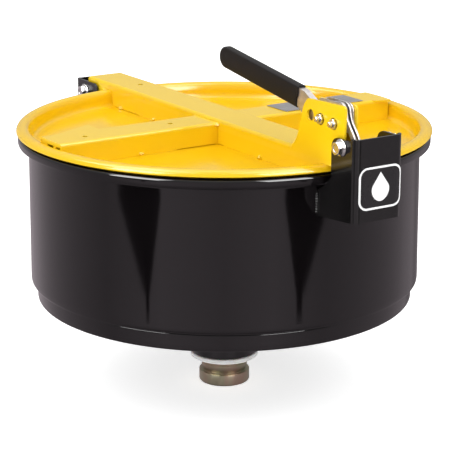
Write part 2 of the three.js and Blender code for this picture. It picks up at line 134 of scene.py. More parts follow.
def edges(nodes):
    """Mask of convex edges, where paint wears thin."""
    geometry = nodes.add("ShaderNodeNewGeometry")
    node = nodes.add("ShaderNodeMapRange")
    node.inputs["From Min"].default_value, node.inputs["From Max"].default_value = EDGE_POINTINESS
    nodes.link(geometry.outputs["Pointiness"], node.inputs["Value"])
    return node.outputs["Result"]


def enamel(name, dark, light, rough, peel, worn, wear):
    """Gloss paint: two tones, worn edges and orange peel."""
    n = Nodes(name)
    colour = n.mix(n.noise(9.0, 4.0), dark, light)
    mask = n.add("ShaderNodeMath", operation="MULTIPLY")
    n.link(edges(n), mask.inputs[0])
    n.link(n.scale(n.noise(160.0, 5.0), 0.0, wear), mask.inputs[1])
    colour = n.mix(mask.outputs[0], colour, worn)
    n.bump(n.noise(420.0, 2.0), peel, 0.0004)
    n.bump(n.noise(38.0, 2.0), peel * 0.6, 0.0016)
    return n.done(colour, n.scale(n.noise(30.0, 4.0), *rough))


def plated(name, tones, rough, grain=(1, 1, 1), scale=60.0, metallic=1.0):
    """Plated or foiled metal: a ramp of tones over a grain."""
    n = Nodes(name)
    colour = n.ramp(n.noise(scale, 5.0, 0.6, grain, 0.4), tones)
    n.bump(n.noise(900.0, 3.0, 0.6, grain), 0.12, 0.0002)
    return n.done(colour, n.scale(n.noise(scale * 1.7, 4.0, 0.6, grain), *rough), Metallic=metallic)


YELLOW = enamel(
    "yellow_enamel", (0.840, 0.555, 0.0040), (0.890, 0.600, 0.0065),
    rough=(0.12, 0.20), peel=0.010, worn=(0.93, 0.66, 0.08), wear=0.25,
)
# a darker copy of the same yellow enamel for the lid pan: painted shade for its recessed floor between
# the beams
PAN_YELLOW_PAINTED_SHADE = enamel(
    "yellow_enamel_pan_painted_shade", (0.790, 0.485, 0.0030), (0.840, 0.530, 0.0050),
    rough=(0.12, 0.20), peel=0.010, worn=(0.93, 0.64, 0.08), wear=0.25,
)
BOWL = enamel(
    "charcoal_enamel", (0.0022, 0.0017, 0.0020), (0.0036, 0.0028, 0.0032),
    rough=(0.035, 0.07), peel=0.012, worn=(0.03, 0.028, 0.028), wear=0.55,
)
BLACK = enamel(
    "black_enamel", (0.0022, 0.0020, 0.0022), (0.0036, 0.0033, 0.0036),
    rough=(0.12, 0.20), peel=0.02, worn=(0.04, 0.038, 0.036), wear=0.55,
)
ZINC = plated(
    "zinc_plate",
    [(0.25, (0.40, 0.37, 0.36)), (0.55, (0.56, 0.53, 0.52)), (0.8, (0.70, 0.67, 0.65))],
    rough=(0.24, 0.40), grain=(1, 1, 3),
)
BRIGHT = plated(
    "bright_zinc", [(0.3, (0.50, 0.485, 0.475)), (0.7, (0.74, 0.725, 0.71))], rough=(0.18, 0.30),
)
CHROMATE = plated(
    "yellow_chromate",
    [
        (0.22, (0.17, 0.15, 0.10)), (0.42, (0.30, 0.28, 0.19)),
        (0.58, (0.35, 0.25, 0.19)), (0.78, (0.42, 0.42, 0.33)),
    ],
    rough=(0.30, 0.48), grain=(1, 1, 0.35), scale=34.0,
)
FOIL = plated(
    "silver_foil", [(0.3, (0.40, 0.385, 0.39)), (0.7, (0.56, 0.54, 0.55))],
    rough=(0.12, 0.22), grain=(1, 0.3, 1), scale=45.0, metallic=0.9,
)


def vinyl():
    n = Nodes("black_vinyl")
    colour = n.mix(n.noise(14.0, 4.0), (0.008, 0.0068, 0.0066), (0.016, 0.0136, 0.0132))
    n.bump(n.noise(650.0, 3.0), 0.10, 0.0003)
    n.bump(n.noise(60.0, 2.0), 0.12, 0.001)
    return n.done(colour, n.scale(n.noise(45.0, 3.0), 0.36, 0.48), Specular_IOR_Level=0.10)


def rubber():
    n = Nodes("black_rubber")
    colour = n.mix(n.noise(25.0, 4.0), (0.012, 0.012, 0.012), (0.022, 0.021, 0.020))
    n.bump(n.noise(500.0, 3.0), 0.2, 0.0003)
    return n.done(colour, n.scale(n.noise(30.0), 0.55, 0.75))


def gasket_white():
    n = Nodes("white_gasket")
    colour = n.mix(n.noise(22.0, 4.0), (0.76, 0.75, 0.74), (0.86, 0.85, 0.83))
    n.bump(n.noise(380.0, 3.0), 0.12, 0.0003)
    return n.done(colour, n.scale(n.noise(30.0), 0.38, 0.55), Subsurface_Weight=0.08)


def print_paint(name, low, high, rough):
    n = Nodes(name)
    colour = n.mix(n.noise(80.0, 4.0), low, high)
    n.bump(n.noise(700.0, 2.0), 0.04, 0.0002)
    return n.done(colour, n.scale(n.noise(50.0), *rough))


VINYL = vinyl()
RUBBER = rubber()
GASKET = gasket_white()
EMBLEM_DARK = print_paint(
    "emblem_ground", (0.007, 0.0065, 0.0075), (0.010, 0.0095, 0.0105), (0.22, 0.32),
)
EMBLEM_WHITE = print_paint("emblem_white", (0.78, 0.78, 0.78), (0.86, 0.86, 0.86), (0.25, 0.35))

# ---------------------------------------------------------------- mesh helpers


def arc(cx, cy, r, start, end, steps):
    """Points from start to end in degrees, both included."""
    out = []
    for i in range(steps + 1):
        a = math.radians(start + (end - start) * i / steps)
        out.append((cx + r * math.cos(a), cy + r * math.sin(a)))
    return out


def make(name, verts, faces, material, angle=CREASE):
    """Mesh object from points in millimetres."""
    mesh = bpy.data.meshes.new(name)
    mesh.from_pydata([Vector(v) * MM for v in verts], [], faces)
    mesh.validate()
    bm = bmesh.new()
    bm.from_mesh(mesh)
    bmesh.ops.remove_doubles(bm, verts=bm.verts, dist=1e-6)
    bmesh.ops.recalc_face_normals(bm, faces=bm.faces)
    bm.to_mesh(mesh)
    bm.free()
    obj = bpy.data.objects.new(name, mesh)
    bpy.context.scene.collection.objects.link(obj)
    obj.data.materials.append(material)
    smooth(obj, angle)
    return obj


def smooth(obj, angle=CREASE):
    obj.data.polygons.foreach_set("use_smooth", [True] * len(obj.data.polygons))
    obj.data.set_sharp_from_angle(angle=math.radians(angle))
    obj.data.update()


def bake(obj):
    """Applies the modifiers."""
    graph = bpy.context.evaluated_depsgraph_get()
    mesh = bpy.data.meshes.new_from_object(obj.evaluated_get(graph))
    old = obj.data
    obj.modifiers.clear()
    obj.data = mesh
    bpy.data.meshes.remove(old)
    return obj


def combine(obj, other, operation):
    """Boolean of two pieces; the second is used up."""
    modifier = obj.modifiers.new("cut", "BOOLEAN")
    modifier.operation = operation
    modifier.solver = "EXACT"
    modifier.object = other
    bake(obj)
    mesh = other.data
    bpy.data.objects.remove(other)
    bpy.data.meshes.remove(mesh)
    return obj


def finish_edges(obj, width):
    """Rounds the sheet's sheared edges; width is in millimetres."""
    bm = bmesh.new()
    bm.from_mesh(obj.data)
    bmesh.ops.remove_doubles(bm, verts=bm.verts, dist=2e-6)
    bmesh.ops.dissolve_limit(bm, angle_limit=math.radians(0.6), verts=bm.verts, edges=bm.edges)
    bm.to_mesh(obj.data)
    bm.free()
    modifier = obj.modifiers.new("edge", "BEVEL")
    modifier.width = width * MM
    modifier.segments = 2
    modifier.limit_method = "ANGLE"
    modifier.angle_limit = math.radians(30)
    bake(obj)
    smooth(obj)
    modifier = obj.modifiers.new("flat", "WEIGHTED_NORMAL")
    modifier.keep_sharp = True
    modifier.weight = 50
    return bake(obj)


def lathe(name, profile, material, segments, angle=CREASE):
    """Turned piece from a closed [radius, z] outline in millimetres."""
    rows = []
    verts = []
    for r, z in profile:
        if abs(r) < 1e-6:
            rows.append([len(verts)] * segments)
            verts.append((0, 0, z))
            continue
        rows.append(list(range(len(verts), len(verts) + segments)))
        for k in range(segments):
            a = 2 * math.pi * k / segments
            verts.append((r * math.cos(a), r * math.sin(a), z))
    faces = []
    for row, following in zip(rows, rows[1:] + rows[:1]):
        if row[0] == row[-1] and following[0] == following[-1]:
            continue
        for k in range(segments):
            j = (k + 1) % segments
            face = list(dict.fromkeys([row[k], row[j], following[j], following[k]]))
            if len(face) > 2:
                faces.append(face)
    return make(name, verts, faces, material, angle)


def prism(name, outline, lift, low, high, material):
    """Flat outline given thickness; lift maps (u, v, depth) to a point."""
    count = len(outline)
    verts = [lift(u, v, low) for u, v in outline] + [lift(u, v, high) for u, v in outline]
    faces = [list(range(count)), list(range(2 * count - 1, count - 1, -1))]
    faces += [[i, (i + 1) % count, count + (i + 1) % count, count + i] for i in range(count)]
    return make(name, verts, faces, material)


# lifts for prism, with the thickness along Y, Z and X


def side(u, v, depth):
    return (u, depth, v)


def plan(u, v, depth):
    return (u, v, depth)


def cross(u, v, depth):
    return (depth, u, v)


def side_sheet(name, outline, low, high, material):
    return prism(name, outline, side, low, high, material)


def plan_sheet(name, outline, low, high, material):
    return prism(name, outline, plan, low, high, material)


def ring(u, v, r, steps):
    return arc(u, v, r, 0, 360 - 360 / steps, steps - 1)


def drill(obj, x, z, r, low, high):
    """Round hole along Y."""
    return combine(obj, side_sheet("drill", ring(x, z, r, 40), low, high, ZINC), "DIFFERENCE")


def drill_down(obj, x, y, r, low, high):
    """Round hole along Z."""
    return combine(obj, plan_sheet("drill", ring(x, y, r, 32), low, high, ZINC), "DIFFERENCE")


def join(name, objects):
    """One mesh object out of several that share a material."""
    bm = bmesh.new()
    for obj in objects:
        bm.from_mesh(obj.data)
    mesh = bpy.data.meshes.new(name)
    bm.to_mesh(mesh)
    bm.free()
    obj = bpy.data.objects.new(name, mesh)
    bpy.context.scene.collection.objects.link(obj)
    mesh.materials.append(objects[0].data.materials[0])
    for old in objects:
        data = old.data
        bpy.data.objects.remove(old)
        bpy.data.meshes.remove(data)
    return obj


def stand_in(obj, body, node):
    """Hangs a modelled piece on its body, in place of a CAD node unless node is None."""
    if node is not None:
        obj.name = "look_" + node
    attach(obj, body)
    if node is not None:
        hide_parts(node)


def blob(name, centre, size, material, squash, lumps, steps):
    """A small uneven bead of weld under paint."""
    bm = bmesh.new()
    bmesh.ops.create_icosphere(bm, subdivisions=steps, radius=1.0)
    phase = [rng.uniform(0, 6.3) for _ in range(3)]
    for v in bm.verts:
        swell = math.sin(3.1 * v.co.x + phase[0]) * math.cos(2.7 * v.co.y + phase[1])
        wobble = 1 + lumps * (swell + 0.5 * math.sin(5.3 * v.co.z + phase[2]))
        v.co = Vector([v.co[i] * wobble * size * squash[i] + centre[i] for i in range(3)]) * MM
    mesh = bpy.data.meshes.new(name)
    bm.to_mesh(mesh)
    bm.free()
    obj = bpy.data.objects.new(name, mesh)
    bpy.context.scene.collection.objects.link(obj)
    mesh.materials.append(material)
    smooth(obj, WELD_CREASE)
    return obj


def weld_bead(name, start, end, width, material, body):
    """Row of overlapping ripples from start to end."""
    a, b = Vector(start), Vector(end)
    count = max(2, int((b - a).length / RIPPLE_PITCH))
    rows = []
    for i in range(count + 1):
        p = a.lerp(b, i / count)
        size = width * rng.uniform(0.85, 1.1)
        rows.append(blob("ripple", p, size, material, (1, 1, 1), 0.12, 2))
    bead = join(name, rows)
    smooth(bead, WELD_CREASE)
    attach(bead, body)


def round_y(name, at, rows, material, segments):
    """Turned piece around a Y-parallel axis through at; rows are (radius, y), closed."""
    obj = lathe(name, rows, material, segments)
    turn = Matrix(((1, 0, 0, at[0] * MM), (0, 0, 1, 0), (0, -1, 0, at[1] * MM), (0, 0, 0, 1)))
    obj.data.transform(turn)
    return obj


def mirror_y(obj):
    """Turns a piece end for end along Y."""
    obj.data.transform(Matrix.Scale(-1, 4, (0, 1, 0)))
    obj.data.flip_normals()
    return obj


def hex_block(name, at, flats, low, high, chamfer, material):
    """Hexagon with its corners chamfered at the low end."""
    corner = flats / math.sqrt(3)
    outline = [(at[0] + x, at[1] + z) for x, z in arc(0, 0, corner, 12, 312, 5)]
    body = side_sheet(name, outline, low, high, material)
    face, past = flats / 2 * 0.96, corner * 1.03
    rows = [(0, low), (face, low), (past, low + chamfer), (past, high + 1), (0, high + 1)]
    return combine(body, round_y("cone", at, rows, material, 64), "INTERSECT")


# ---------------------------------------------------------------- bowl

bowl_outline = [
    (219.0, 101.9), (221.4, 102.2), (225.0, 103.0), (226.6, 103.8), (227.4, 105.1), (227.7, 107.0),
    (227.7, 112.0), (227.3, 150.0), (226.9, 200.0), (226.4, 250.0), (226.3, 262.2), (226.3, 263.4),
    (226.8, 264.8), (228.2, 265.6), (230.6, 265.9), (234.8, 266.1), (236.9, 266.4), (238.0, 267.2),
    (238.4, 268.6), (238.5, 271.2), *arc(234.8, 273.5, 3.8, -8, 178, 16), (230.9, 270.6),
    (230.2, 268.4), (228.4, 267.2), (226.2, 266.3), (225.0, 264.4), (224.7, 261.0), (225.3, 200.0),
    (226.0, 108.0), (225.5, 105.8), (224.2, 104.8), (221.0, 104.0), (219.0, 103.6),
]
stand_in(lathe("wall", bowl_outline, BOWL, 256, 50), "bowl", "bowl_wall")

cone_outline = [
    (40.4, 52.0), (120, 65.9), (200, 79.8), (214.6, 81.4), *arc(218.7, 84.3, 2.0, 255, 360, 8),
    (220.7, 92.0), (220.7, 99.8), *arc(219.5, 100.3, 1.2, 0, 90, 5), (218.6, 101.2), (218.9, 88.0),
    (217.6, 85.2), (214.0, 83.3), (199.5, 81.5), (120, 67.6), (40.4, 53.6),
]
stand_in(lathe("cone", cone_outline, BOWL, 256, 40), "bowl", "bowl_cone")

collar_outline = [
    (27.4, 6.3), (39.0, 6.3), *arc(39.1, 7.3, 1.0, -90, 0, 5), (40.1, 12.0), (40.1, 50.5),
    *arc(38.9, 53.3, 1.2, 0, 90, 4), (37.1, 54.5), (37.1, 10.3), (27.4, 10.3),
]
stand_in(lathe("collar", collar_outline, BLACK, 128), "bowl", "outlet_collar")

gasket_outline = [
    (27.4, 0.0), (38.6, 0.0), *arc(39.0, 1.6, 1.6, -90, 0, 6), *arc(39.0, 4.4, 1.6, 0, 90, 6),
    (27.4, 6.0),
]
stand_in(lathe("gasket", gasket_outline, GASKET, 128, 50), "bowl", "drum_gasket")


spigot_outline = [
    (24.0, -31.8), (28.2, -31.8), (29.3, -31.4), (30.0, -30.4), (30.15, -29.4), (30.15, -18.4),
    (30.0, -17.9), (29.6, -17.7), (26.6, -17.6), (25.9, -17.0), (25.9, -15.8), (26.5, -14.2),
    (27.3, -12.0), (27.7, -9.4), (27.7, -7.4), (27.0, -6.8), (27.0, -5.8), (27.7, -5.2),
    (27.7, -2.6), (27.1, -2.0), (27.1, 10.6), (35.6, 10.6), (35.6, 15.6), (24.6, 15.6),
    (24.0, 15.0),
]
spigot = lathe("spigot", spigot_outline, CHROMATE, 160, 28)
stand_in(spigot, "bowl", "bung_adapter")

# the brackets' near and far skins, inner ends, front skin and bend
NEAR_Y = -28.5
FAR_Y = {"keeper": 33.0, "hinge": 28.5}
INNER_END = 223.8
KEEPER_FACE, HINGE_FACE = 289.5, 311
BRACKET_BEND = 7.0

# axes of the keeper and hinge bolts as x and z, and the radius of their holes
KEEPER = (264.5, 311)
HINGE = (-286, 276)
M8_HOLE = 4.3


def bent_plan(sign, web, far):
    """Plan of a bent U of sheet that opens toward the bowl."""
    centre, low, high = web - BRACKET_BEND, NEAR_Y + BRACKET_BEND, far - BRACKET_BEND
    r = BRACKET_BEND - SHEET
    loop = [(INNER_END, far), *arc(centre, high, BRACKET_BEND, 90, 0, 10)]
    loop += [*arc(centre, low, BRACKET_BEND, 0, -90, 10), (INNER_END, NEAR_Y)]
    loop += [(INNER_END, NEAR_Y + SHEET), *arc(centre, low, r, -90, 0, 10)]
    loop += [*arc(centre, high, r, 0, 90, 10), (INNER_END, far - SHEET)]
    return [(sign * x, y) for x, y in loop]


def keeper_bracket():
    outline = [(INNER_END, 229.5), (290.5, 235.2), (290.5, 323), (282.6, 323), (280.4, 321.4)]
    outline += [(278.5, 320.2), (274, 320), *arc(258.7, 309, 11, 90, 180, 10)]
    outline += [(247.7, 277), (240.5, 268), (INNER_END, 257)]
    body = plan_sheet("keeper", bent_plan(1, KEEPER_FACE, FAR_Y["keeper"]), 225, 326, BLACK)
    body = combine(body, side_sheet("trim", outline, -30, 35, BLACK), "INTERSECT")
    body = drill(body, *KEEPER, M8_HOLE, -30, 35)
    return finish_edges(body, 0.35)


stand_in(keeper_bracket(), "bowl", "latch_keeper_bracket")


def hinge_bracket():
    outline = [(-INNER_END, 229.5), (-312, 236), (-312, 287), (-308, 289.5)]
    outline += arc(-264.5, 279.5, 10, 90, 0, 9)
    outline += [(-254.5, 270), (-248, 266), (-240, 264), (-INNER_END, 255)]
    body = plan_sheet("hinge", bent_plan(-1, HINGE_FACE, FAR_Y["hinge"]), 225, 300, BLACK)
    body = combine(body, side_sheet("trim", outline, -30, 30, BLACK), "INTERSECT")
    body = drill(body, *HINGE, M8_HOLE, -30, 30)
    return finish_edges(body, 0.35)


stand_in(hinge_bracket(), "bowl", "hinge_bracket")


FLANGE = [(9.0, 0), (9.2, 0.2), (9.2, 0.9), (8.6, 1.5), (6.5, 2.3), (0, 1.5)]


def flange(at, seat, outward):
    """Washer face under a head or nut; outward is -1 at the near side and 1 at the far side."""
    rows = [(0, seat)] + [(r, seat + outward * y) for r, y in FLANGE]
    return round_y("flange", at, rows[::outward], BRIGHT, 56)


def flanged_bolt(at, tip):
    seat = NEAR_Y - 0.3
    head = hex_block("head", at, 13, seat - 7.5, seat - 1.0, 1.3, BRIGHT)
    rows = [(0, seat - 8.5), (4.1, seat - 8.5), (3.5, seat - 6.9), (0, seat - 6.6)]
    head = combine(head, round_y("dimple", at, rows, BRIGHT, 40), "DIFFERENCE")
    head = combine(head, flange(at, seat, -1), "UNION")
    rows = [(0, seat - 0.5), (4, seat - 0.5), (4, tip - 0.5), (3.3, tip), (0, tip)]
    head = combine(head, round_y("shank", at, rows, BRIGHT, 40), "UNION")
    return finish_edges(head, 0.22)


def flanged_nut(at, ear):
    seat = ear + 0.3
    body = mirror_y(hex_block("nut", at, 13, -(seat + 7.5), -(seat + 1.0), 1.2, BRIGHT))
    body = combine(body, flange(at, seat, 1), "UNION")
    rows = [(0, seat - 1), (M8_HOLE, seat - 1), (M8_HOLE, seat + 9), (0, seat + 9)]
    body = combine(body, round_y("bore", at, rows, BRIGHT, 40), "DIFFERENCE")
    return finish_edges(body, 0.22)


for side_name, at in (("keeper", KEEPER), ("hinge", HINGE)):
    far = FAR_Y[side_name]
    stand_in(flanged_bolt(at, far + 10), "bowl", side_name + "_bolt")
    stand_in(flanged_nut(at, far), "bowl", side_name + "_nut")


def rounded(y0, y1, z0, z1, r, steps):
    """Rectangle with round corners."""
    return (
        arc(y1 - r, z1 - r, r, 0, 90, steps) + arc(y0 + r, z1 - r, r, 90, 180, steps)
        + arc(y0 + r, z0 + r, r, 180, 270, steps) + arc(y1 - r, z0 + r, r, 270, 360, steps)
    )


def bracket_face(y, proud):
    """X of the keeper bracket's front skin at y, following its bend."""
    over = max(NEAR_Y + BRACKET_BEND - y, y - (FAR_Y["keeper"] - BRACKET_BEND))
    if over <= 0:
        return KEEPER_FACE + proud
    r = BRACKET_BEND + proud
    return KEEPER_FACE - BRACKET_BEND + math.sqrt(max(0.0, r ** 2 - over ** 2))


def divided(points, step):
    """Closed outline with its long edges split."""
    out = []
    for (x0, y0), (x1, y1) in zip(points, points[1:] + points[:1]):
        n = max(1, int(math.hypot(x1 - x0, y1 - y0) / step))
        out += [(x0 + (x1 - x0) * i / n, y0 + (y1 - y0) * i / n) for i in range(n)]
    return out


def wrapped_band(name, outer, inner, proud, thick, material):
    """Closed band between two matching outlines, laid on the bracket's front."""
    n = len(outer)
    verts = []
    for loop, lift in ((outer, proud + thick), (inner, proud + thick), (inner, proud), (outer, proud)):
        verts += [(bracket_face(y, lift), y, z) for y, z in loop]
    faces = []
    for ring in range(4):
        a, b = ring * n, ((ring + 1) % 4) * n
        faces += [[a + i, a + (i + 1) % n, b + (i + 1) % n, b + i] for i in range(n)]
    return make(name, verts, faces, material, 40)


def wrapped_patch(name, outline, proud, thick, material, rings):
    """Filled outline laid on the bracket's front, built of rings round its middle."""
    cy = sum(p[0] for p in outline) / len(outline)
    cz = sum(p[1] for p in outline) / len(outline)
    n = len(outline)
    verts, faces = [], []
    for lift in (proud + thick, proud):
        base = len(verts)
        for k in range(rings, 0, -1):
            s = k / rings
            for y, z in outline:
                y_in, z_in = cy + (y - cy) * s, cz + (z - cz) * s
                verts.append((bracket_face(y_in, lift), y_in, z_in))
        verts.append((bracket_face(cy, lift), cy, cz))
        for k in range(rings - 1):
            a, b = base + k * n, base + (k + 1) * n
            faces += [[a + i, a + (i + 1) % n, b + (i + 1) % n, b + i] for i in range(n)]
        last, tip = base + (rings - 1) * n, base + rings * n
        faces += [[last + i, last + (i + 1) % n, tip] for i in range(n)]
    low = n * rings + 1
    faces += [[i, (i + 1) % n, low + (i + 1) % n, low + i] for i in range(n)]
    return make(name, verts, faces, material, 40)


def emblem():
    """A plain drop in a border, printed on a thin dark ground."""
    proud, thick, print_proud, print_thick = 0.3, 0.35, 0.62, 0.12
    outline = divided(rounded(-24.6, 31.0, 247.6, 293.6, 11, 10), 1.2)
    ground = wrapped_patch("emblem", outline, proud, thick, EMBLEM_DARK, 7)
    stand_in(ground, "bowl", "emblem_plate")
    outer = rounded(-24.2, 30.6, 248.0, 293.2, 10.6, 16)
    inner = rounded(-22.0, 28.4, 250.2, 291.0, 8.4, 16)
    border = wrapped_band("emblem_border", outer, inner, print_proud, print_thick, EMBLEM_WHITE)
    stand_in(border, "bowl", None)
    middle = 3.5
    drop = [(middle, 287.0)]
    for a in range(128, -129, -8):
        t = math.radians(a)
        y = middle + 11.2 * math.sin(t) * (1 - 0.12 * math.cos(t))
        drop.append((y, 267.0 - 11.0 * math.cos(t)))
    drop = wrapped_patch("emblem_drop", drop, print_proud, print_thick, EMBLEM_WHITE, 3)
    stand_in(drop, "bowl", None)


emblem()

# weld beads where the brackets meet the bowl
for sign, far in ((1, FAR_Y["keeper"]), (-1, FAR_Y["hinge"])):
    for y in (NEAR_Y - 0.9, far + 0.9):
        low, high = (sign * 224.7, y, 234), (sign * 224.7, y, 254)
        weld_bead("bracket_weld", low, high, 1.9, BLACK, "bowl")

# ---------------------------------------------------------------- lid

# rounded crest of the rim, a quarter of an ellipse
RIM_ROUND = [
    (232 + (x - 232) * 8, 280.9 + (z - 280.9) * 5.8) for x, z in arc(232, 280.9, 1, 3, 97, 20)
]
pan_outline = [
    (0, 265.4), (219.6, 265.5), (222.6, 266.9), (224.4, 269.4), (225.1, 272.4), (225.3, 276.0),
    (225.6, 279.8), (226.6, 282.8), (228.6, 284.6), (231, 284.9), (234.2, 284.2), (236.8, 282.8),
    (238.2, 281.2), (238.4, 280.5), *arc(239.2, 280.7, 0.8, 200, 360, 8), *RIM_ROUND,
    (229.0, 286.4), (227.4, 285.7), (226.0, 284.4), (224.8, 282.2), (224.0, 279.4), (223.7, 276.0),
    (223.5, 272.6), (222.8, 270.2), (221.4, 268.4), (219.2, 267.3), (215.5, 267.0), (150, 267.0),
    (0, 267.0),
]
# the pan takes the darker yellow copy, painted shade on its recessed floor
stand_in(lathe("pan", pan_outline, PAN_YELLOW_PAINTED_SHADE, 288, 50), "lid", "lid_pan")

BEND = 4.0


def channel(name, half, top, floor, start, end, lift):
    """Bent channel, open below, before its ends and feet are trimmed."""
    left, right, high = -half + BEND, half - BEND, top - BEND
    loop = [(-half, floor), *arc(left, high, BEND, 180, 90, 7)]
    loop += [*arc(right, high, BEND, 90, 0, 7), (half, floor)]
    loop += [(half - SHEET, floor), *arc(right, high, BEND - SHEET, 0, 90, 5)]
    loop += [*arc(left, high, BEND - SHEET, 90, 180, 5), (-half + SHEET, floor)]
    return prism(name, loop, lift, start, end, YELLOW)


# axes of the latch's bolts, spare hole and hook rivet as x and z
PIVOT = (222.3, 333)
FRAME_BOLT = (245.4, 331.8)
SPARE = (204.1, 333.9)
RIVET = (208.6, 338.5)
M6_HOLE = 3.3

# latch cheek's outline above the beam
CHEEK = [(257, 299.3), (257, 315.5), *arc(259.2, 315.9, 2.2, 180, 90, 4), (263.7, 318.1)]
CHEEK += [*arc(260.2, 348.2, 5, 0, 85, 8), (199.8, 350.9), *arc(199.9, 348.4, 2.5, 95, 155, 3)]
CHEEK += [(192.9, 344), (190.6, 339.5), (189.1, 334.2), (183.3, 313.9)]

# pan's upper skin from the floor up to the rim, as radius and height
PAN_STEP = [
    (215.5, 266.95), (219.2, 267.25), (221.4, 268.35), (222.8, 270.15), (223.5, 272.6),
    (223.7, 276.0), (224.0, 279.4), (224.8, 282.2), (226.0, 284.4), (227.4, 285.6), (229.4, 286.3),
]


def long_beam():
    beam = channel("beam", 24.4, 295.3, 260, -284, 258, cross)
    near_wall, far_wall = (-24.4, -21.9), (21.9, 24.4)
    edge = [(r - 1.3, z) for r, z in PAN_STEP]
    feet = [(-300, 285.6), *[(-x, z) for x, z in reversed(edge)], *edge]
    feet += [(262, 285.6), (262, 250), (-300, 250)]
    beam = combine(beam, side_sheet("feet", feet, -26, 26, YELLOW), "DIFFERENCE")
    corner = [(-284.5, 296), (-284.5, 293), (-281, 296)]
    beam = combine(beam, side_sheet("corner", corner, -26, 26, YELLOW), "DIFFERENCE")
    lobe = [(-283, 289.5), (-288.5, 288.5), (-293, 284), *arc(*HINGE, 9.5, 150, 300, 14)]
    lobe += [(-258, 272), (-241.5, 272), (-241.5, 287), (-270, 289)]
    for wall in (near_wall, far_wall):
        beam = combine(beam, side_sheet("lobe", lobe, *wall, YELLOW), "UNION")
    cheek = [(171, 291.5), (258, 291.5), (258, 295.3), *CHEEK]
    cheek += [(181.6, 309.5), (178.6, 303.4), (175, 298.4), (171, 295.6)]
    beam = combine(beam, side_sheet("cheek", cheek, *near_wall, YELLOW), "UNION")
    # short open seams where the wall feet miss the pan floor
    for x0, x1 in ((-225, -155), (24.6, 38)):
        seam = [(x0, 266.5), (x1, 266.5), (x1 - 2, 267.6), (x0 + 2, 267.6)]
        beam = combine(beam, side_sheet("seam", seam, -25.5, -21, YELLOW), "DIFFERENCE")
    for x, z in (PIVOT, FRAME_BOLT, SPARE):
        beam = drill(beam, x, z, 6.25, -26, -20)
    beam = drill(beam, *HINGE, M8_HOLE, -30, 30)
    beam = drill_down(beam, -200, 4, 3.2, 290, 300)
    return finish_edges(beam, 0.4)


stand_in(long_beam(), "lid", "long_beam")


def cross_beam(name, sign, end_r, tab, holes):
    """Beam from the long beam to the rim; sign is -1 for the near one and 1 for the far one."""
    floor = 266.95
    span = sorted((sign * 24.7, sign * 250))
    beam = channel(name, 24.5, 292, floor, span[0], span[1], side)
    beam = combine(beam, plan_sheet("tab", tab, 289.5, 292, YELLOW), "UNION")
    step = [(r, z) for r, z in PAN_STEP if r < end_r]
    rows = [(0, floor), *step, (end_r, step[-1][1] + 0.5), (end_r, 300), (0, 300)]
    beam = combine(beam, lathe("trim", rows, YELLOW, 128), "INTERSECT")
    for x, y in holes:
        beam = drill_down(beam, x, y, 3.0, 286, 300)
    if sign < 0:
        seam = [(-81, 266.5), (-26, 266.5), (-28, 267.7), (-79, 267.7)]
        beam = combine(beam, prism("seam", seam, cross, 21, 25.5, YELLOW), "DIFFERENCE")
        # notched lip that closes the gap between the beam's end and the rim
        lip = [(-22.5, -220), (-22.5, -224.9), *arc(0, 0, 226.2, 265, 275, 8)]
        lip += [(22.5, -224.9), (22.5, -220)]
        lip = plan_sheet("lip", lip, 284.6, 290, YELLOW)
        for x0, x1 in ((-6, 7.3), (13.6, 21.5)):
            gap = [(x0, -230), (x1, -230), (x1, -215), (x0, -215)]
            lip = combine(lip, plan_sheet("gap", gap, 284, 287.2, YELLOW), "DIFFERENCE")
        beam = combine(beam, lip, "UNION")
    return finish_edges(beam, 0.4)


left_tab = [(-20, -216), (-23.6, -203), (-46, -154.8), (-45.4, -154), (-20, -154)]
left_beam = cross_beam("left", -1, 226.6, left_tab, [(0, -73), (4, -185)])
stand_in(left_beam, "lid", "cross_beam_left")
right_tab = [(20, 196), (24.4, 200), (30.2, 214), (30.2, 221), (20, 221)]
right_beam = cross_beam("right", 1, 222.6, right_tab, [])
stand_in(right_beam, "lid", "cross_beam_right")

plate = plan_sheet("marking", rounded(-20, 21, 73, 186, 1.5, 4), 292.3, 293.0, FOIL)
stand_in(finish_edges(plate, 0.15), "lid", "marking_plate")


def far_cheek():
    body = side_sheet("far_cheek", [(183, 295.6), (257, 295.6), *CHEEK], -10.1, -7.6, YELLOW)
    for x, z in (PIVOT, FRAME_BOLT):
        body = drill(body, x, z, M6_HOLE, -12, -5)
    return finish_edges(body, 0.4)


stand_in(far_cheek(), "lid", "latch_far_cheek")


def frame_plate(low):
    outline = [(213, 322), (262, 322), (262, 345), *arc(253, 345.5, 9, 0, 90, 6)]
    outline += [(222, 354.5), *arc(221, 346.5, 8, 90, 180, 6)]
    body = side_sheet("frame", outline, low, low + 1.5, ZINC)
    for x, z in (PIVOT, FRAME_BOLT):
        body = drill(body, x, z, M6_HOLE, low - 1, low + 3)
    return finish_edges(body, 0.25)


stand_in(frame_plate(-21.6), "lid", "latch_frame_near")
stand_in(frame_plate(-11.9), "lid", "latch_frame_far")


def latch_bolt(at):
    seat, tip = -7.3, -31.5
    head = mirror_y(hex_block("head", at, 10, -(seat + 4), -seat, 0.9, BRIGHT))
    rows = [(0, tip), (2.4, tip), (3, tip + 0.7), (3, seat + 0.5), (0, seat + 0.5)]
    head = combine(head, round_y("shank", at, rows, BRIGHT, 40), "UNION")
    return finish_edges(head, 0.18)


def latch_nut(at):
    body = hex_block("nut", at, 10, -27.4, -21.9, 0.9, BRIGHT)
    rows = [(0, -28), (M6_HOLE, -28), (M6_HOLE, -20), (0, -20)]
    body = combine(body, round_y("bore", at, rows, BRIGHT, 40), "DIFFERENCE")
    return finish_edges(body, 0.18)


for label, at in (("pivot", PIVOT), ("frame", FRAME_BOLT)):
    stand_in(latch_bolt(at), "lid", label + "_bolt")
    stand_in(latch_nut(at), "lid", label + "_nut")

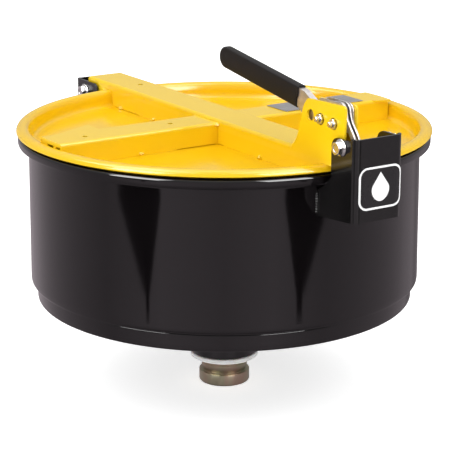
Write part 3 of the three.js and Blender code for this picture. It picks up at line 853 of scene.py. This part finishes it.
# centres and sizes of the tack welds under the yellow enamel
TACKS = [
    ((24.5, -125.5, 268.6), 2.6), ((110, -24.6, 268.6), 2.6), ((-200, -24.6, 268.6), 2.4),
    ((24.0, -24.8, 289.5), 3.0), ((-240, -24.8, 284.5), 2.8), ((-23.5, -24.8, 289.5), 2.6),
    ((-120, -24.6, 268.6), 2.4), ((24.5, 120, 268.6), 2.4), ((-24.5, 120, 268.6), 2.4),
    ((-24.5, -110, 268.6), 2.4), ((24.0, 24.8, 289.5), 2.8), ((-24.0, 24.8, 289.5), 2.8),
    ((-110, 24.6, 268.6), 2.4), ((110, 24.6, 268.6), 2.4),
]
for centre, size in TACKS:
    tack = blob("tack_weld", centre, size, YELLOW, (1.2, 1.2, 0.8), 0.25, 3)
    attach(tack, "lid")

# ---------------------------------------------------------------- handle and hook

RISE = math.radians(8.17)  # slope of the handle toward its tip
MID = -16.0  # plane of the handle and hook
GRIP_LENGTH, GRIP_HALF = 143, 12.25


def along(distance, drop):
    """Point in x and z by its distance along the grip and its drop from the grip's middle."""
    c, s = math.cos(RISE), math.sin(RISE)
    return (175 - distance * c - drop * s, 347.6 + distance * s - drop * c)


def handle_channel():
    outline = [along(0, -10), along(140, -10), along(150, -6), along(150, 6), along(140, 10)]
    outline += [along(0, 10), (186, 329), *arc(*PIVOT, 9.5, -120, 60, 14), (204, 346.3), (186, 355.6)]
    body = side_sheet("channel", outline, MID - 3.8, MID + 3.8, ZINC)
    inside = [along(160, -8.5), along(0, -8.5), (185.3, 354.0), (199, 346.95)]
    inside += [(199, 380), (240, 380), (240, 300), (10, 300)]
    body = combine(body, side_sheet("inside", inside, MID - 2.3, MID + 2.3, ZINC), "DIFFERENCE")
    body = drill(body, *PIVOT, M6_HOLE, -25, -5)
    body = drill(body, *RIVET, 2.8, -25, -5)
    return finish_edges(body, 0.3)


stand_in(handle_channel(), "handle", "handle_channel")


def handle_grip():
    angle = math.degrees(RISE)
    outline = [along(0, GRIP_HALF * (i / 4 - 1)) for i in range(9)]
    outline += [along(GRIP_LENGTH * i / 24, GRIP_HALF) for i in range(1, 24)]
    outline += arc(*along(GRIP_LENGTH, 0), GRIP_HALF, 270 - angle, 90 - angle, 24)
    outline += [along(GRIP_LENGTH * i / 24, -GRIP_HALF) for i in range(23, 0, -1)]
    body = side_sheet("grip", outline, MID - 5, MID + 5, VINYL)
    bm = bmesh.new()
    bm.from_mesh(body.data)
    # edges of both faces, all but the upper part of the open end
    open_end = 174.5 * MM
    rim = [
        e for e in bm.edges
        if abs(e.verts[0].co.y - e.verts[1].co.y) < 1e-7
        and not all(v.co.x > open_end for v in e.verts)
    ]
    bmesh.ops.bevel(
        bm, geom=rim, offset=2.6 * MM, segments=5, profile=0.5, affect="EDGES", clamp_overlap=True,
    )
    bm.to_mesh(body.data)
    bm.free()
    socket = [along(-5, -10.3), along(140.3, -10.3), along(150.4, -6.2)]
    socket += [along(150.4, 6.2), along(140.3, 10.3), along(-5, 10.3)]
    body = combine(body, side_sheet("socket", socket, MID - 4.1, MID + 4.1, VINYL), "DIFFERENCE")
    smooth(body, 50)
    return body


stand_in(handle_grip(), "handle", "handle_grip")

rivet_rows = [(0, MID - 3.8), (2.3, MID - 3.8), (2.5, MID - 3.6)]
rivet_rows += [(2.5, MID + 3.6), (2.3, MID + 3.8), (0, MID + 3.8)]
rivet = round_y("rivet", RIVET, rivet_rows, BRIGHT, 32)
stand_in(rivet, "handle", "hook_rivet")


def hook_link():
    """Link that is one sheet behind x 237 and three leaves ahead of it."""
    outline = [
        *arc(*RIVET, 8, 290, 110, 16), (209.5, 346.6), (214, 347.4), (222, 349.5), (234, 353),
        (246, 355), (251, 355), (255.4, 353.6), (258.8, 350), (260.3, 345), (262, 339),
        (264.6, 334.4), (268, 330), (272, 325.2), (275, 321), (277, 316.6), (277.6, 313),
        (277.6, 306), (276.6, 302.8), (275, 300.5), (272.4, 298.9), (269, 298.3), (265.4, 298.4),
        (263, 299), (261.7, 300.4), (261.5, 302.5), (262.2, 305.4), *arc(*KEEPER, 4.8, -115, 0, 10),
        (269.3, 319), (262.5, 327), (256.5, 335), (254.6, 339.4), (252.5, 341.5), (236, 341.3),
        (220, 341), (216.6, 338.4), (214, 335),
    ]
    rear = [(190, 290), (237, 290), (237, 370), (190, 370)]
    ahead = [(236.5, 290), (290, 290), (290, 370), (236.5, 370)]
    body = side_sheet("hook", outline, MID - 2, MID + 2, ZINC)
    body = combine(body, side_sheet("rear", rear, MID - 3, MID + 3, ZINC), "INTERSECT")
    for low in (-3.7, -1.15, 1.4):
        leaf = side_sheet("leaf", outline, MID + low, MID + low + 2.3, ZINC)
        leaf = combine(leaf, side_sheet("ahead", ahead, MID - 6, MID + 6, ZINC), "INTERSECT")
        body = combine(body, leaf, "UNION")
    body = drill(body, *RIVET, 2.8, -25, -5)
    return finish_edges(body, 0.35)


stand_in(hook_link(), "hook", "hook_link")

# ---------------------------------------------------------------- carried-over nodes

for node, material in (("strainer_plate", CHROMATE), ("lid_gasket", RUBBER)):
    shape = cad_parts[node]
    shape.data.materials.clear()
    shape.data.materials.append(material)

# ---------------------------------------------------------------- stage, light, camera


def stage_material():
    n = Nodes("pale_floor")
    colour = n.mix(n.noise(2.0, 3.0), (0.86, 0.86, 0.86), (0.88, 0.88, 0.88))
    return n.done(
        colour, n.scale(n.noise(6.0), 0.75, 0.85),
        Specular_IOR_Level=0.1, Emission_Color=(1, 1, 1, 1), Emission_Strength=0.64)


# wide enough that a tilted view never sees past it, and just below the spigot's foot
FLOOR_HALF, FLOOR_Z = 25000, -31.9
corners = [(x * FLOOR_HALF, y * FLOOR_HALF, FLOOR_Z) for x, y in ((-1, -1), (1, -1), (1, 1), (-1, 1))]
floor = make("floor", corners, [[0, 1, 2, 3]], stage_material())
floor.visible_glossy = False

# the photo's camera, fitted to the picture
AZ, EL, DISTANCE = math.radians(57.155), math.radians(16.03), 2.0118
TARGET = Vector((0, 0, 0.1607))
PICTURE, FOCAL, SHIFT = 450, 1704.8, 0.77  # pixels
toward = Vector((math.sin(AZ) * math.cos(EL), -math.cos(AZ) * math.cos(EL), math.sin(EL)))
camera_data = bpy.data.cameras.new("camera")
camera_data.sensor_width = 36
camera_data.lens = 36 * FOCAL / PICTURE
camera_data.shift_x = SHIFT / PICTURE
camera_data.clip_start = 0.05
camera_data.clip_end = 90
camera = bpy.data.objects.new("camera", camera_data)
camera.location = TARGET + toward * DISTANCE
camera.rotation_mode = "QUATERNION"
camera.rotation_quaternion = (-toward).to_track_quat("-Z", "Y")
bpy.context.scene.collection.objects.link(camera)
bpy.context.scene.camera = camera

# surround's brightness below the horizon by azimuth, and above it by height, in degrees
LOW_LEVELS = (
    (-180, 0.25), (-157, 0.50), (-141, 0.62), (-106, 0.52), (-72, 0.38), (-36, 0.66), (0, 0.50),
    (28, 0.64), (60, 0.42), (90, 0.48), (131, 0.50), (145, 0.40), (154, 0.20), (180, 0.25),
)
HIGH_LEVELS = ((0, 0.44), (20, 0.52), (42, 0.90), (60, 1.05), (90, 1.10))
FLOOR_GLOW = (0.28, 0.28, 0.28, 1)
WEDGE_DARK = (0.015, 0.015, 0.015, 1)
LOW_TINT = (1.06, 0.93, 1.0, 1)


def studio_world():
    """Bright surround above the horizon; grey with two dark wedges below it, for glossy paint.

    Azimuth runs from the camera's side, counter-clockwise seen from above, and is fixed in space.
    """
    world = bpy.data.worlds.new("studio")
    world.use_nodes = True
    tree = world.node_tree

    def add(kind, **values):
        node = tree.nodes.new(kind)
        for key, value in values.items():
            setattr(node, key, value)
        return node

    def math_node(operation, a, b=0.0, c=0.0):
        node = add("ShaderNodeMath", operation=operation)
        for socket, value in zip(node.inputs, (a, b, c)):
            if isinstance(value, (int, float)):
                socket.default_value = value
            else:
                tree.links.new(value, socket)
        return node.outputs[0]

    def ramp(value, low, high, stops):
        span = add("ShaderNodeMapRange")
        span.inputs["From Min"].default_value = low
        span.inputs["From Max"].default_value = high
        tree.links.new(value, span.inputs["Value"])
        node = add("ShaderNodeValToRGB")
        while len(node.color_ramp.elements) < len(stops):
            node.color_ramp.elements.new(0.5)
        for element, (at, level) in zip(node.color_ramp.elements, stops):
            element.position = (at - low) / (high - low)
            element.color = (level, level, level, 1)
        tree.links.new(span.outputs[0], node.inputs["Fac"])
        return node.outputs["Color"]

    def blend(factor, a, b, kind="MIX"):
        node = add("ShaderNodeMixRGB", blend_type=kind)
        for socket, value in zip(node.inputs, (factor, a, b)):
            if isinstance(value, (int, float, tuple)):
                socket.default_value = value
            else:
                tree.links.new(value, socket)
        return node.outputs[0]

    def fade(low, dark, bright, high):
        """Factor by height: nothing up to dark, everything from bright on."""
        return ramp(height, low, high, ((low, 0), (dark, 0), (bright, 1), (high, 1)))

    turned = add("ShaderNodeMapping", vector_type="POINT")
    turned.inputs["Rotation"].default_value = (0, 0, math.pi / 2 - AZ)
    tree.links.new(add("ShaderNodeTexCoord").outputs["Generated"], turned.inputs["Vector"])
    split = add("ShaderNodeSeparateXYZ")
    tree.links.new(turned.outputs[0], split.inputs[0])
    x, y, z = split.outputs
    azimuth = math_node("MULTIPLY", math_node("ARCTAN2", y, x), 180 / math.pi)
    height = math_node("MULTIPLY", math_node("ARCSINE", z), 180 / math.pi)
    # 0 at the wedges' foot, 1 at their top 3.4 degrees higher
    rise = math_node("MULTIPLY_ADD", height, 1 / 3.4, 17.5 / 3.4)
    rise = math_node("MAXIMUM", math_node("MINIMUM", rise, 1.05), 0.0)

    def wedge(centre, lean, half, spread):
        """Factor inside a wedge whose middle leans and whose half width grows with rise."""
        middle = math_node("MULTIPLY_ADD", rise, lean, centre)
        away = math_node("ABSOLUTE", math_node("SUBTRACT", azimuth, middle))
        room = math_node("SUBTRACT", math_node("MULTIPLY_ADD", rise, spread, half), away)
        inside = math_node("MAXIMUM", math_node("MULTIPLY_ADD", room, 1.0, 0.5), 0.0)
        return math_node("MINIMUM", inside, 1.0)

    around = ramp(azimuth, -180, 180, LOW_LEVELS)
    dark = math_node("MAXIMUM", wedge(-44.6, -4.9, 1.0, 12.5), wedge(43.7, 5.0, 1.7, 12.7))
    dark = math_node("MULTIPLY", dark, fade(-24, -19.1, -18.1, 0))
    below = blend(dark, around, WEDGE_DARK)
    below = blend(fade(-90, -40, -22, 0), FLOOR_GLOW, below)
    below = blend(1.0, below, LOW_TINT, "MULTIPLY")
    above = ramp(height, 0, 90, HIGH_LEVELS)
    sky = blend(ramp(height, -4, 2, ((-4, 0), (2, 1))), below, above)
    tree.links.new(sky, tree.nodes["Background"].inputs["Color"])
    return world


bpy.context.scene.world = studio_world()
bpy.context.scene.view_settings.view_transform = "Standard"
bpy.context.scene.view_settings.look = "None"


# whether diffuse rays and glossy rays see a lamp
LIT, SHINE, BOTH = (True, False), (False, True), (True, True)


def softbox(name, turn, elevation, distance, width, height, power, seen):
    """Area light aimed at the bowl; turn is counter-clockwise from the camera's side, in degrees."""
    a, e = math.radians(57 + turn), math.radians(elevation)
    direction = Vector((math.sin(a) * math.cos(e), -math.cos(a) * math.cos(e), math.sin(e)))
    data = bpy.data.lights.new(name, "AREA")
    data.shape = "RECTANGLE"
    data.size, data.size_y = width, height
    data.energy = power
    lamp = bpy.data.objects.new(name, data)
    lamp.location = Vector((0, 0, 0.2)) + direction * distance
    lamp.rotation_mode = "QUATERNION"
    lamp.rotation_quaternion = (-direction).to_track_quat("-Z", "Y")
    lamp.visible_diffuse, lamp.visible_glossy = seen
    bpy.context.scene.collection.objects.link(lamp)


softbox("key", -52, 34, 2.6, 1.45, 1.5, 19, LIT)
softbox("fill", 49, 34, 2.6, 1.2, 1.5, 15, LIT)
softbox("key_glint", -47, 24, 2.7, 1.35, 1.9, 110, SHINE)
softbox("key_glint_high", -84, 62, 2.7, 1.9, 1.6, 60, SHINE)
softbox("fill_glint", 34, 24, 2.7, 1.2, 1.9, 95, SHINE)
softbox("fill_glint_high", 62, 64, 2.7, 1.7, 1.6, 55, SHINE)
softbox("top", 180, 74, 2.4, 1.8, 1.4, 12, BOTH)
